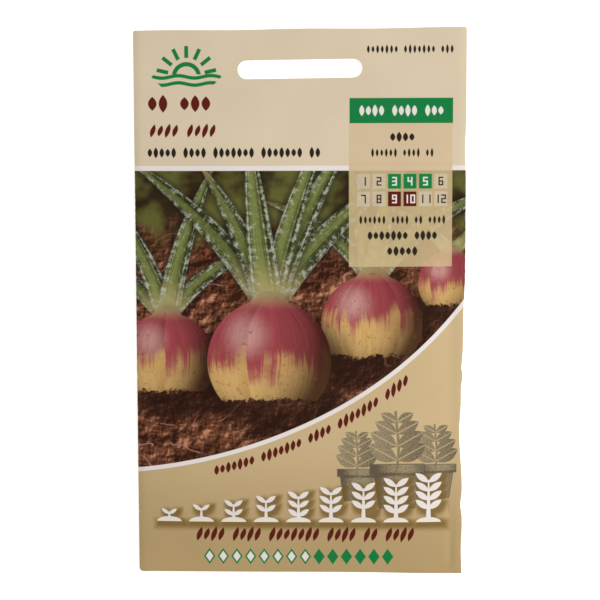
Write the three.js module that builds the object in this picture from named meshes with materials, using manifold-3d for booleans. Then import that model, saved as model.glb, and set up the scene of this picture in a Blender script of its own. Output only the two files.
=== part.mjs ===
// A flat paper seed packet with a hang slot, lying on its back with its printed front up.
// One folded and glued paper blank holds a sealed foil sachet, and the sachet holds the seeds.
// Millimetres. X runs across the packet, Y up it towards the slot, and Z up from the table.
// The origin lies under the middle of the packet, on the table.

import * as THREE from 'three';
import { mergeVertices } from 'three/addons/utils/BufferGeometryUtils.js';
import Module from 'manifold-3d';

// Driving dimensions
const packet = {
  width: 85,
  height: 141.5,
  paper: 0.14,
  cornerRadius: 0.9,
  seamWidth: 3.5, // glued strip down the right side
  headerDepth: 20, // glued top, which the slot is punched through
  seamHeight: 0.8, // underside of the seams above the table
  frontBulge: 1.9,
  frontRise: 30, // how far in from each side the front reaches its full height
  foldGap: 0.2, // hollow kept open by the spring of the folded paper
  foldGapRise: 10, // how far from the glued sides that hollow is fully open
  foldInset: 0.4, // solid crease along the folded sides
};
const waist = { depth: 0.9, y: -26, spread: 30 }; // where the right side was trimmed a little narrow
const backRise = { side: 14, bottom: 30, top: 20 };
const slot = { length: 31.6, width: 4.9, fromTop: 10.1 };
const flap = { depth: 12, halfWidth: 40, taper: 5 };
const vent = { inset: 0.5, across: 1.6, up: 3 }; // corner gap beside each end of the bottom flap
const sachet = { width: 62, height: 92, y: -12, film: 0.08, seal: 6, rise: 10, bulge: 2.2 };
const clearance = { sachet: 0.12, seal: 0.04, seeds: 0.03, crease: 0.02 };
// A heap wound outwards from its middle: seeds touch along each turn and clear the next turn
const seeds = { radius: 1.04, step: 1.6, turnGap: 2.12, startAngle: 2.5, count: 88, y: -30, draw: 20250 };

// Places worked out from them
const left = -packet.width / 2;
const right = packet.width / 2;
const bottom = -packet.height / 2;
const top = packet.height / 2;
const seamX = right - packet.seamWidth;
const headerY = top - packet.headerDepth;
const slotY = top - slot.fromTop;
const sachetX = (left + seamX) / 2;
const seamTop = packet.seamHeight + 2 * packet.paper;
const below = -2; // cutters start here, under everything
const above = 8; // and end here, over everything

// Steps of the curves and grids
const steps = { arc: 5, rightSide: 16, across: 14, along: 20, flapAcross: 12, flapAlong: 3 };
const filmSteps = { across: 10, along: 14 };

const wasm = await Module();
wasm.setup();

/** A closed geometry as a solid that can be joined and cut. */
function solidOf(geometry) {
  geometry.deleteAttribute('normal');
  geometry.deleteAttribute('uv');
  const merged = mergeVertices(geometry);
  return new wasm.Manifold(
    new wasm.Mesh({
      numProp: 3,
      vertProperties: new Float32Array(merged.attributes.position.array),
      triVerts: new Uint32Array(merged.index.array),
    })
  );
}

/** A solid back as a geometry with its normals. */
function geometryOf(solid) {
  const mesh = solid.getMesh();
  const geometry = new THREE.BufferGeometry();
  geometry.setAttribute('position', new THREE.BufferAttribute(mesh.vertProperties, mesh.numProp));
  geometry.setIndex(new THREE.BufferAttribute(mesh.triVerts, 1));
  geometry.computeVertexNormals();
  return geometry;
}

/** Places from one to another, closer together near both ends. */
function graded(from, to, count) {
  const closeness = 0.75;
  const end = Math.sin((closeness * Math.PI) / 2);
  return Array.from({ length: count + 1 }, (_, i) => {
    const along = (2 * i) / count - 1;
    const share = Math.sin((closeness * along * Math.PI) / 2) / end;
    return (from + to) / 2 + (share * (to - from)) / 2;
  });
}

/** A thin layer over a grid: two height formulas, one for each face, closed along its border. */
function layer(xs, ys, lower, upper, placeX = (x) => x) {
  const [nx, ny] = [xs.length - 1, ys.length - 1];
  const geometry = new THREE.BoxGeometry(2, 2, 2, nx, ny, 1);
  const corner = geometry.attributes.position;
  for (let i = 0; i < corner.count; i += 1) {
    const y = ys[Math.round(((corner.getY(i) + 1) / 2) * ny)];
    const x = placeX(xs[Math.round(((corner.getX(i) + 1) / 2) * nx)], y);
    corner.setXYZ(i, x, y, corner.getZ(i) > 0 ? upper(x, y) : lower(x, y));
  }
  return solidOf(geometry);
}

/** A flat outline carried straight up from one height to another. */
function prism(shape, from, to) {
  const options = { depth: to - from, bevelEnabled: false, curveSegments: steps.arc };
  const geometry = new THREE.ExtrudeGeometry(shape, options);
  geometry.translate(0, 0, from);
  return solidOf(geometry);
}

/** Rises from 0 at an edge to 1 at the given distance inside it, levelling out at the top. */
function ramp(inside, distance) {
  const share = THREE.MathUtils.clamp(inside / distance, 0, 1);
  return 1 - (1 - share) ** 2;
}

/** Underside of the packet: flat on the table in the middle, lifted all round at the seams. */
function backOutside(x, y) {
  const across = ramp(x - left, backRise.side) * ramp(seamX - x, backRise.side);
  const along = ramp(y - bottom, backRise.bottom) * ramp(headerY - y, backRise.top);
  return packet.seamHeight * (1 - across * along);
}

/** Top of the packet: a soft pillow over the pocket, and flat over the seam and the header. */
function frontOutside(x, y) {
  const rise = packet.frontRise;
  const pillow =
    ramp(x - left, rise) * ramp(seamX - x, rise) * ramp(y - bottom, rise) * ramp(headerY - y, rise);
  const foldHollow =
    packet.foldGap * ramp(seamX - x, packet.foldGapRise) * ramp(headerY - y, packet.foldGapRise);
  return seamTop + foldHollow + packet.frontBulge * pillow;
}

/** How far the right-hand side is trimmed in at a height. */
function trimmedIn(y) {
  return waist.depth * Math.exp(-(((y - waist.y) / waist.spread) ** 2));
}

/** The packet's outline seen from the front. */
function packetOutline() {
  const r = packet.cornerRadius;
  const shape = new THREE.Shape();
  shape.moveTo(left + r, bottom);
  shape.lineTo(right - r, bottom);
  shape.absarc(right - r, bottom + r, r, -Math.PI / 2, 0);
  for (let i = 1; i < steps.rightSide; i += 1) {
    const y = THREE.MathUtils.lerp(bottom + r, top - r, i / steps.rightSide);
    shape.lineTo(right - trimmedIn(y), y);
  }
  shape.absarc(right - r, top - r, r, 0, Math.PI / 2);
  shape.absarc(left + r, top - r, r, Math.PI / 2, Math.PI);
  shape.absarc(left + r, bottom + r, r, Math.PI, 1.5 * Math.PI);
  return shape;
}

/** The long hang slot with its round ends. */
function slotOutline() {
  const r = slot.width / 2;
  const reach = slot.length / 2 - r;
  const shape = new THREE.Shape();
  shape.absarc(reach, slotY, r, -Math.PI / 2, Math.PI / 2);
  shape.absarc(-reach, slotY, r, Math.PI / 2, 1.5 * Math.PI);
  return shape;
}

/** The gap at a bottom corner, on the left (-1) or the right (1). */
function ventOutline(side) {
  const x = side * (packet.width / 2 - packet.foldInset - vent.inset);
  const y = bottom + packet.foldInset + vent.inset;
  const corners = [
    new THREE.Vector2(x, y),
    new THREE.Vector2(x - side * vent.across, y),
    new THREE.Vector2(x, y + vent.up),
  ];
  return new THREE.Shape(side > 0 ? corners.reverse() : corners);
}

/** The paper over its whole area, past the outline on every side, with the pocket's grid lines inside. */
function roughPacket(pocketX, pocketY) {
  const overhang = 1;
  const held = (formula) => (x, y) => formula(Math.max(x, left), Math.max(y, bottom));
  return layer(
    [left - overhang, ...pocketX.slice(1), right + overhang],
    [bottom - overhang, ...pocketY.slice(1), top + overhang],
    held(backOutside),
    held(frontOutside)
  );
}

/** The bottom flap, folded up over the back and narrowing to its free edge. */
function bottomFlap() {
  const ys = graded(bottom, bottom + flap.depth, steps.flapAlong);
  const narrowed = (share, y) => share * (flap.halfWidth - (flap.taper * (y - bottom)) / flap.depth);
  return layer(
    graded(-1, 1, steps.flapAcross),
    ys,
    (x, y) => backOutside(x, y) - packet.paper,
    (x, y) => backOutside(x, y) + packet.paper / 2,
    narrowed
  );
}

/** The hollow between the front and back panels. */
function pocketHollow(pocketX, pocketY) {
  const floor = (x, y) => backOutside(x, y) + packet.paper;
  const ceiling = (x, y) => frontOutside(x, y) - packet.paper;
  return layer(
    [left + packet.foldInset, ...pocketX.slice(1)],
    [bottom + packet.foldInset, ...pocketY.slice(1)],
    floor,
    (x, y) => Math.max(ceiling(x, y), floor(x, y) + clearance.crease)
  );
}

/** The folded paper: panels and bottom flap, less the pocket, the slot and the corner gaps. */
function paperSolid() {
  const pocketX = graded(left, seamX, steps.across);
  const pocketY = graded(bottom, headerY, steps.along);
  const ventTop = packet.seamHeight + packet.paper + packet.foldGap / 4;
  return roughPacket(pocketX, pocketY)
    .intersect(prism(packetOutline(), below, above))
    .add(bottomFlap())
    .subtract(pocketHollow(pocketX, pocketY))
    .subtract(prism(slotOutline(), below, above))
    .subtract(prism(ventOutline(-1), below, ventTop))
    .subtract(prism(ventOutline(1), below, ventTop));
}

/** Top face of the sachet's back film, which lies on the back panel. */
function backFilmTop(x, y) {
  return backOutside(x, y) + packet.paper + clearance.sachet + sachet.film;
}

/** Underside of the sachet's front film, sealed flat round its border and raised over the seeds. */
function frontFilmUnder(x, y) {
  const fromSide = sachet.width / 2 - sachet.seal - Math.abs(x - sachetX);
  const fromEnd = sachet.height / 2 - sachet.seal - Math.abs(y - sachet.y);
  const raised = sachet.bulge * ramp(fromSide, sachet.rise) * ramp(fromEnd, sachet.rise);
  return backFilmTop(x, y) + clearance.seal + raised;
}

/** One film of the sachet, between a height formula and the same one moved by its thickness. */
function filmSolid(formula, from, to) {
  return layer(
    graded(sachetX - sachet.width / 2, sachetX + sachet.width / 2, filmSteps.across),
    graded(sachet.y - sachet.height / 2, sachet.y + sachet.height / 2, filmSteps.along),
    (x, y) => formula(x, y) + from,
    (x, y) => formula(x, y) + to
  );
}

/** A small repeatable draw of numbers from 0 to 1. */
function drawFrom(start) {
  let state = start;
  return () => {
    state = (Math.imul(state, 1664525) + 1013904223) >>> 0;
    return state / 2 ** 32;
  };
}

/** One layer of seeds in a round heap: a spiral walk, each seed touching the one before it. */
function seedSolid() {
  const draw = drawFrom(seeds.draw);
  const z = backFilmTop(sachetX, seeds.y) + clearance.seeds + seeds.radius;
  const outward = seeds.turnGap / (2 * Math.PI);
  let angle = seeds.startAngle;
  const grains = [];
  for (let i = 0; i < seeds.count; i += 1) {
    const reach = outward * angle;
    const turn = new THREE.Euler(draw() * Math.PI, draw() * Math.PI, draw() * Math.PI);
    const grain = new THREE.IcosahedronGeometry(seeds.radius, 0);
    grain.applyMatrix4(new THREE.Matrix4().makeRotationFromEuler(turn));
    grain.translate(sachetX + reach * Math.cos(angle), seeds.y + reach * Math.sin(angle), z);
    grains.push(solidOf(grain));
    angle += seeds.step / Math.hypot(reach, outward);
  }
  return wasm.Manifold.union(grains);
}

/** A named piece of the packet with its own material. */
function piece(name, solid, look) {
  const mesh = new THREE.Mesh(geometryOf(solid), new THREE.MeshStandardMaterial(look));
  mesh.name = name;
  return mesh;
}

const kraftCream = { color: 0xd0bc9b, roughness: 0.5, metalness: 0 };
const foil = { color: 0xb9bcc0, roughness: 0.3, metalness: 0.9 };
const seedCoat = { color: 0x3a241c, roughness: 0.7, metalness: 0 };

const seedPacket = new THREE.Group();
seedPacket.add(piece('paper_packet', paperSolid(), kraftCream));
seedPacket.add(piece('sachet_back_film', filmSolid(backFilmTop, -sachet.film, 0), foil));
seedPacket.add(piece('sachet_front_film', filmSolid(frontFilmUnder, 0, sachet.film), foil));
seedPacket.add(piece('seeds', seedSolid(), seedCoat));

export default seedPacket;
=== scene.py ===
"""A printed paper seed packet with a hang slot, lying on its back under a camera that looks down on it.

The paper is one closed surface worked out with numpy: a plan of the sheet, carried at the height of the
front panel and again at the height of the back panel, and joined round the outline and round the slot.
Inside it lie a sealed foil sachet and its seeds. Everything printed on the paper is a formula in its
materials, in millimetres across and up the packet.
"""

import math

import bpy
import numpy as np
from mathutils import Euler, Matrix, Vector


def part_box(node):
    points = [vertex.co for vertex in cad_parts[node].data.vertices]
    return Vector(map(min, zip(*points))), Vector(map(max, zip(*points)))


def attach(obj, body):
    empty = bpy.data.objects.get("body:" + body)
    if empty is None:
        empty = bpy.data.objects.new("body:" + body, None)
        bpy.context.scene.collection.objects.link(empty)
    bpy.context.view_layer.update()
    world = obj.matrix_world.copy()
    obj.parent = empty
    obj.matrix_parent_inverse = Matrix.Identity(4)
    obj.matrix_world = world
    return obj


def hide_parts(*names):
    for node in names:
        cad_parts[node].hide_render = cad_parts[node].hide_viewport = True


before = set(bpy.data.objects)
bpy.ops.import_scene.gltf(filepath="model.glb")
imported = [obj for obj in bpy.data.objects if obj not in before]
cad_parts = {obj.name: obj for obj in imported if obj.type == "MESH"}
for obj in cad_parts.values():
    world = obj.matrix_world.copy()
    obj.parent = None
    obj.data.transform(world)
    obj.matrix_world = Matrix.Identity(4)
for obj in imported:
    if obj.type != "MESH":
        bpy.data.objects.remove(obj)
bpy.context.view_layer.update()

MM = 0.001

# The packet, in millimetres
paper_low, paper_high = (np.array(corner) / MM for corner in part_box("paper_packet"))
LEFT, BOTTOM = paper_low[:2]
RIGHT, TOP = paper_high[:2]
PAPER = 0.14
SEAM_X = RIGHT - 3.5
HEADER_Y = TOP - 20
SEAM_HEIGHT = 0.8
FRONT_BULGE, FRONT_RISE = 1.84, 30
FOLD_GAP, FOLD_GAP_RISE = 0.2, 10
FOLD_ROLL = (2 * PAPER + FOLD_GAP) / 2
BACK_RISE = {"side": 14, "bottom": 30, "top": 20}
EDGE_DROOP, LEFT_DROOP, DROOP_WIDTH = 0.15, 0.17, 2.2
FLAP = {"depth": 12, "half": 40, "taper": 5}
SLOT = {"half": 15.9, "radius": 2.37, "x": 0.1, "y": TOP - 10.46, "tilt": 0.012}
# The radius of each corner, by its side and end: -1 for left and bottom, 1 for right and top
CORNERS = ((-1, -1, 0.9), (1, -1, 0.2), (1, 1, 0.5), (-1, 1, 0.15))
# The groove round the inner layers at the bottom right, and where it fades in
GROOVE = {"x": 38.9, "y": -69.0, "corner": 2.2, "depth": 0.2, "width": 0.75}
GROOVE_FADE = {"across": (30, 37), "up": (-46, -58)}
# Waves in the paper: share of the height, the lengths across and up that are one radian, and the start
WAVE_HEIGHT = 0.035
WAVES = ((1, 9.5, 23, 0.7), (0.7, 17, -12.5, 2.1), (0.5, 5.5, 41, 4.0))

# The outline of the packet, in millimetres. Shallow bites in its right-hand side: middle, spread, depth
BITES = ((40, 5, 0.24), (-22, 2.2, 0.26), (-33, 10.5, 0.8), (-52.3, 2.2, 0.4), (-64, 4.5, 0.3))
SIDE = {"inset": 0.05, "set_back": 0.45, "set_back_up": (9, -4), "wave": 0.04, "wave_up": (5, -25)}
NICK = {"y": -16.6, "depth": 0.34, "spread": 0.35, "torn": 0.26, "torn_height": 6}
TOP_EDGE = {"level": -0.355, "lean": 0.0066, "wave": 0.09, "crest": 1, "length": 5.73}
BOTTOM_EDGE = {"level": 0.29, "hump": 0.04, "middle": 5, "spread": 9, "step": 0.15, "step_across": (16, 34)}
# How far from the middle the plan starts to follow its side, and starts and ends turning to its two ends
SIDE_FROM, ENDS_FROM, ENDS_FULL = 30, 40, 70

# The grid of points on the paper, in millimetres: its lines, closer together near each edge
STEP = 0.85
NEAR_LINES, NEAR_BAND = np.array([0, 0.12, 0.28, 0.5, 0.8, 1.2, 1.7]), 2.4
SLOT_RINGS = {"count": 8, "margin": 3, "crowding": 1.6}
# The rows of points down an edge, as shares of its height, and the groove in the middle of a cut one
EDGE_SHARES, EDGE_GROOVE = (0.16, 0.34, 0.46, 0.5, 0.54, 0.66, 0.84), 0.05
SHARP = math.radians(50)

# The sachet and its seeds, in millimetres
SACHET = {"x": (LEFT + SEAM_X) / 2, "y": -12, "half_x": 31, "half_y": 46, "seal": 6, "rise": 10}
SACHET_BULGE = 2.2
FILM = 0.08
CLEAR = {"sachet": 0.12, "seal": 0.04, "seeds": 0.03}
CRIMP = {"pitch": 1.25, "depth": 0.03, "lines": 6}
SEEDS = {"radius": 1.02, "step": 1.95, "turn_gap": 2.12, "start": 2.5, "count": 130, "y": -30, "draw": 41}
SEED_SHAPE, SEED_RINGS, SEED_SIDES = (0.97, 0.9, 0.86), 7, 9

# The picture's curve and straight line, in millimetres across and up, and the packet's material slots
CURVE = {"x": -59.1, "y": 45.5, "half_x": 117.0, "half_y": 89.65, "line": 0.55}
TOP_LINE = (34.5, 35.75)
FRONT_SLOTS = {"header": 0, "picture": 1, "foot": 2}
BACK_SLOT, CUT_SLOT = 3, 4

# The camera and the floor, in millimetres and degrees, and the light, in metres and watts
CAMERA = {"aim": (-0.07, 1.17, 1.0), "lean": (-5.73, 1.85, -0.17), "away": 450, "frame": 36, "lens": 104.65}
FLOOR_HALF, FLOOR_GLOW, SURROUND = 20000, 0.45, 0.66
KEY_LIGHT = {"place": (0.62, 0.1, 0.42), "size": 0.4, "power": 4.2}


# Shape of the paper

def ramp(inside, distance):
    """Rises from 0 at an edge to 1 at the given distance inside it, as a quarter of a parabola."""
    share = np.clip(inside / distance, 0, 1)
    return 1 - (1 - share) ** 2


def smooth(value, low, high):
    """0 at low, 1 at high, and an even S between."""
    share = np.clip((value - low) / (high - low), 0, 1)
    return share * share * (3 - 2 * share)


def flap_half(y):
    """Half the width of the bottom flap at a height, which narrows evenly towards its free edge."""
    share = np.clip((y - BOTTOM) / FLAP["depth"], 0, 1)
    return FLAP["half"] - FLAP["taper"] * share


def flap_cover(x, y):
    """1 where the bottom flap lies over the back panel."""
    return (np.abs(x) < flap_half(y)) & (y < BOTTOM + FLAP["depth"])


def ripple(x, y):
    """Slight waves in the paper: three long crossing sine waves."""
    crossing = (share * np.sin(x / across + y / up + start) for share, across, up, start in WAVES)
    return WAVE_HEIGHT * sum(crossing)


def back_lift(x, y):
    """0 where the back panel lies flat on the table, rising to 1 at the seams all round."""
    across = ramp(x - LEFT, BACK_RISE["side"]) * ramp(SEAM_X - x, BACK_RISE["side"])
    along = ramp(y - BOTTOM, BACK_RISE["bottom"]) * ramp(HEADER_Y - y, BACK_RISE["top"])
    return 1 - across * along


def droop(x, y):
    """How far the outermost strip of both panels bends down to the folds and cut edges, most at the left."""
    inside = np.minimum.reduce([x - LEFT, RIGHT - 0.3 - x, y - BOTTOM, (TOP - y) * 2])
    return EDGE_DROOP * (1 - ramp(inside, DROOP_WIDTH)) + LEFT_DROOP * (1 - ramp(x - LEFT, DROOP_WIDTH))


def front_height(x, y):
    """Top of the front panel: a pillow over the pocket, flat over the seam and header, with slight waves,
    and with a groove round the inner layers' rounded corner at the bottom right."""
    pillow = (
        ramp(x - LEFT, FRONT_RISE) * ramp(SEAM_X - x, FRONT_RISE)
        * ramp(y - BOTTOM, FRONT_RISE) * ramp(HEADER_Y - y, FRONT_RISE)
    )
    hollow = FOLD_GAP * ramp(SEAM_X - x, FOLD_GAP_RISE) * ramp(HEADER_Y - y, FOLD_GAP_RISE)
    past_x = np.maximum(x - GROOVE["x"] + GROOVE["corner"], 0)
    past_y = np.maximum(GROOVE["y"] + GROOVE["corner"] - y, 0)
    beyond = (np.hypot(past_x, past_y) - GROOVE["corner"]) / GROOVE["width"]
    fade = smooth(y, *GROOVE_FADE["up"]) * smooth(x, *GROOVE_FADE["across"])
    groove = GROOVE["depth"] * np.exp(-beyond * beyond) * fade
    return SEAM_HEIGHT + 2 * PAPER + hollow + FRONT_BULGE * pillow - groove - droop(x, y) + ripple(x, y)


def back_height(x, y):
    """Underside of the back panel: flat on the table in the middle, lifted round the seams, with its flap."""
    lift = back_lift(x, y)
    waves = ripple(x, y) * np.clip(lift * 1.4, 0, 1)
    return SEAM_HEIGHT * lift + waves - droop(x, y) / 2 - PAPER * flap_cover(x, y)


def right_side(y):
    """The trimmed right-hand side: straight at the top, set back below the middle, with shallow bites, small
    waves, and one torn nick above which it draws in."""
    bites = sum(depth * np.exp(-(((y - middle) / spread) ** 2)) for middle, spread, depth in BITES)
    set_back = SIDE["set_back"] * smooth(y, *SIDE["set_back_up"])
    nick = NICK["depth"] * np.exp(-np.abs(y - NICK["y"]) / NICK["spread"])
    torn = NICK["torn"] * smooth(y, NICK["y"] + NICK["torn_height"], NICK["y"]) * (y > NICK["y"])
    waves = SIDE["wave"] * np.sin(y / 3.1) * smooth(y, *SIDE["wave_up"])
    return RIGHT - SIDE["inset"] - bites - set_back - nick - torn - waves


def end_skews(x):
    """How far the top and the bottom edge stand off level across the packet. The top leans, with a low wave.
    The bottom has a low hump and a step, and drops where its fold ends."""
    wave = TOP_EDGE["wave"] * np.cos((x - TOP_EDGE["crest"]) / TOP_EDGE["length"])
    hump = BOTTOM_EDGE["hump"] * np.exp(-(((x - BOTTOM_EDGE["middle"]) / BOTTOM_EDGE["spread"]) ** 2))
    step = BOTTOM_EDGE["step"] * smooth(x, *BOTTOM_EDGE["step_across"])
    unrolled = FOLD_ROLL * smooth(x, RIGHT - 1.8, RIGHT - 0.8)
    return TOP_EDGE["level"] + TOP_EDGE["lean"] * x + wave, BOTTOM_EDGE["level"] + hump - step - unrolled


def grid_lines(low, high, extra):
    """Grid lines about STEP apart, closer together at both ends, with some extra lines."""
    inner = np.linspace(low + NEAR_BAND, high - NEAR_BAND, int((high - low - 2 * NEAR_BAND) / STEP))
    lines = np.concatenate([low + NEAR_LINES, inner, high - NEAR_LINES, extra])
    return np.unique(np.round(lines, 4))


def sheet_plan():
    """The flat plan of the packet as x, y over a grid: lines lean along the flap's sides and follow the
    wavy right side, corners are drawn in along quarter circles, and the folds' roll is left outside."""
    hair = 0.03
    top_half = FLAP["half"] - FLAP["taper"]
    flap_top = BOTTOM + FLAP["depth"]
    low_x, low_y = LEFT + FOLD_ROLL, BOTTOM + FOLD_ROLL
    flap_lines = [-top_half - hair, -top_half + hair, top_half - hair, top_half + hair]
    columns = grid_lines(low_x, RIGHT, flap_lines)
    rows = grid_lines(low_y, TOP, [flap_top - hair, flap_top + hair])
    half = flap_half(rows)[:, None]
    knots = [low_x, *flap_lines, RIGHT]
    left, right = np.full_like(half, low_x), np.full_like(half, RIGHT)
    placed = np.hstack([left, -half - hair, -half + hair, half - hair, half + hair, right])
    x = np.array([np.interp(columns, knots, row) for row in placed])
    y = np.repeat(rows[:, None], len(columns), axis=1)
    side = np.clip((x - SIDE_FROM) / (RIGHT - SIDE_FROM), 0, 1)
    x = x - side * (RIGHT - right_side(y))
    x, y = round_corners(x, y, low_x, low_y)
    top_skew, bottom_skew = end_skews(x)
    towards_top = np.clip((y - ENDS_FROM) / (ENDS_FULL - ENDS_FROM), 0, 1)
    towards_bottom = np.clip((-ENDS_FROM - y) / (ENDS_FULL - ENDS_FROM), 0, 1)
    return x, y + towards_top * top_skew + towards_bottom * bottom_skew


def round_corners(x, y, low_x, low_y):
    """Draws each square corner in to a quarter circle by the mapping of a square onto a disc."""
    for sign_x, sign_y, corner in CORNERS:
        edge_x = right_side(y) if sign_x > 0 else low_x
        edge_y = TOP if sign_y > 0 else low_y
        a = (x - (edge_x - sign_x * corner)) * sign_x / corner
        b = (y - (edge_y - sign_y * corner)) * sign_y / corner
        near = (a > 0) & (b > 0)
        a, b = np.clip(a, 0, 1), np.clip(b, 0, 1)
        moved_x = a * np.sqrt(1 - b * b / 2)
        moved_y = b * np.sqrt(1 - a * a / 2)
        x = np.where(near, x + sign_x * corner * (moved_x - a), x)
        y = np.where(near, y + sign_y * corner * (moved_y - b), y)
    return x, y


def slot_edge(x, y):
    """The point of the slot's edge that faces a point of the plan, seen from the slot's middle line, which
    leans a little."""
    reach = SLOT["half"] - SLOT["radius"]
    start = SLOT["x"] + np.clip(x - SLOT["x"], -reach, reach)
    middle = SLOT["y"] + SLOT["tilt"] * start
    away = np.stack([x - start, y - middle])
    away = away / np.hypot(*away)
    return start + SLOT["radius"] * away[0], middle + SLOT["radius"] * away[1]


def grid_faces(rows, columns):
    """The four-sided faces of a grid of points, in rows and columns of faces."""
    index = np.arange(rows * columns).reshape(rows, columns)
    return np.stack([index[:-1, :-1], index[:-1, 1:], index[1:, 1:], index[1:, :-1]], axis=-1)


def around(row_0, row_1, column_0, column_1, width):
    """Indices round the border of a block of grid points, anticlockwise."""
    bottom = row_0 * width + np.arange(column_0, column_1)
    right = np.arange(row_0, row_1) * width + column_1
    top = row_1 * width + np.arange(column_1, column_0, -1)
    left = np.arange(row_1, row_0, -1) * width + column_0
    return np.concatenate([bottom, right, top, left])


def strip(first, second):
    """Four-sided faces between two closed loops of points."""
    return np.stack([first, np.roll(first, -1), np.roll(second, -1), second], axis=1)


def flat_sheet():
    """Points, faces, outline loop and slot loop of the plan, with rings of points round the slot that crowd
    together towards its edge."""
    x, y = sheet_plan()
    rows, columns = x.shape
    up = y[:, columns // 2]
    across = x[np.searchsorted(up, SLOT["y"])]
    half_x, half_y = SLOT["half"] + SLOT_RINGS["margin"], SLOT["radius"] + SLOT_RINGS["margin"]
    column_0, column_1 = np.searchsorted(across, [-half_x, half_x])
    row_0, row_1 = np.searchsorted(up, [SLOT["y"] - half_y, SLOT["y"] + half_y])
    quads = grid_faces(rows, columns)
    keep = np.ones(quads.shape[:2], bool)
    keep[row_0:row_1, column_0:column_1] = False
    points = np.stack([x.ravel(), y.ravel()], axis=1)
    loop = around(row_0, row_1, column_0, column_1, columns)
    outer = points[loop]
    inner = np.stack(slot_edge(*outer.T), axis=1)
    faces, rings = [quads[keep]], [points]
    start = len(points)
    for share in 1 - (1 - np.linspace(0, 1, SLOT_RINGS["count"] + 1)[1:]) ** SLOT_RINGS["crowding"]:
        rings.append(outer + (inner - outer) * share)
        ring = start + np.arange(len(loop))
        faces.append(strip(loop, ring))
        loop, start = ring, start + len(ring)
    outline = around(0, rows - 1, 0, columns - 1, columns)
    return np.concatenate(rings), np.concatenate(faces), outline, loop


def used_only(points, faces, *loops):
    """Drops points that no face uses, and renumbers the faces and loops."""
    used = np.unique(faces)
    place = np.full(len(points), -1)
    place[used] = np.arange(len(used))
    return [points[used], place[faces]] + [place[loop] for loop in loops]


def outward(points, loop):
    """Unit normals of a loop in its own plane, pointing away from the paper."""
    along = points[np.roll(loop, -1)] - points[np.roll(loop, 1)]
    along = along / np.linalg.norm(along, axis=1, keepdims=True)
    return np.stack([along[:, 1], -along[:, 0]], axis=1)


def fold_share(x, y):
    """1 along the folded edges, at the left and the bottom, and 0 along the cut ones, with a slide of about
    1 mm where a fold ends."""
    left = smooth(x, LEFT + 1.6, LEFT + 0.8) * smooth(y, TOP - 0.4, TOP - 1.4)
    bottom = smooth(y, BOTTOM + 1.8, BOTTOM + 1.0) * smooth(x, RIGHT - 0.8, RIGHT - 1.8)
    return np.maximum(left, bottom)


def edge_rows(points, loop, rolled, tops, bottoms):
    """Rows of points between the front and back loops. A folded edge is half a circle in section, and a cut
    edge is upright with a fine groove between its two layers."""
    normal = outward(points, loop)
    rows = []
    for share in EDGE_SHARES:
        circle = FOLD_ROLL * np.sin(np.pi * share)
        groove = EDGE_GROOVE if share == 0.5 else 0.0
        out = rolled * circle - (1 - rolled) * groove
        drop = rolled * (1 - math.cos(math.pi * share)) / 2 + (1 - rolled) * share
        rows.append(np.column_stack([points[loop] + normal * out[:, None], tops + (bottoms - tops) * drop]))
    return rows


def curve_distance(x, y, length):
    """Distance outside the long curve under the picture, below 0 inside it: a quarter of an ellipse. length
    is what measures a pair of numbers."""
    u, v = (x - CURVE["x"]) / CURVE["half_x"], (y - CURVE["y"]) / CURVE["half_y"]
    reach = length(u, v)
    steepness = length(u / CURVE["half_x"], v / CURVE["half_y"]) / reach
    return (reach - 1.0) / steepness


def print_slots(corners):
    """The printed material of each front face, from its corners: header, picture or foot."""
    x, y = corners[..., 0], corners[..., 1]
    margin = 0.3
    header = (y > TOP_LINE[1] + margin).all(axis=1)
    foot = (curve_distance(x, y, np.hypot) > CURVE["line"] + margin).all(axis=1) & ~header
    return np.select([header, foot], [FRONT_SLOTS["header"], FRONT_SLOTS["foot"]], FRONT_SLOTS["picture"])


def packet_mesh():
    """The whole paper packet: front sheet, back sheet and the edges between them. Returns its points, faces
    and material slots."""
    points, faces, outline, slot_loop = used_only(*flat_sheet())
    count = len(points)
    x, y = points.T
    front_z, back_z = front_height(x, y), back_height(x, y)
    coordinates = [np.column_stack([points, front_z]), np.column_stack([points, back_z])]
    covered = flap_cover(x, y)[faces]
    flap_edge = covered.any(axis=1) & ~covered.all(axis=1)
    all_faces = [faces, faces[:, ::-1] + count]
    slots = [print_slots(points[faces]), np.where(flap_edge, CUT_SLOT, BACK_SLOT)]
    start = 2 * count
    rolled = fold_share(*points[outline].T)
    for loop, roll in ((outline, rolled), (slot_loop[::-1], np.zeros(len(slot_loop)))):
        rows = edge_rows(points, loop, roll, front_z[loop], back_z[loop])
        coordinates += rows
        size = len(loop)
        between = [start + row * size + np.arange(size) for row in range(len(rows))]
        loops = [loop, *between, loop + count]
        is_cut = (roll + np.roll(roll, -1)) / 2 < 0.5
        printed = print_slots(points[np.stack([loop, np.roll(loop, -1)], axis=1)])
        for above, below in zip(loops, loops[1:]):
            all_faces.append(strip(below, above))
            slots.append(np.where(is_cut, CUT_SLOT, printed))
        start += len(rows) * size
    return np.concatenate(coordinates), np.concatenate(all_faces), np.concatenate(slots)


def make_object(name, points, faces, materials, slots=None, sharp=None):
    """A mesh object at the origin from points in millimetres and faces of equal length."""
    mesh = bpy.data.meshes.new(name)
    mesh.from_pydata((points * MM).tolist(), [], faces.tolist())
    for material in materials:
        mesh.materials.append(material)
    if slots is not None:
        mesh.polygons.foreach_set("material_index", slots)
    mesh.shade_smooth()
    if sharp is not None:
        mesh.set_sharp_from_angle(angle=sharp)
    mesh.update()
    thing = bpy.data.objects.new(name, mesh)
    bpy.context.scene.collection.objects.link(thing)
    return thing


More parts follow.
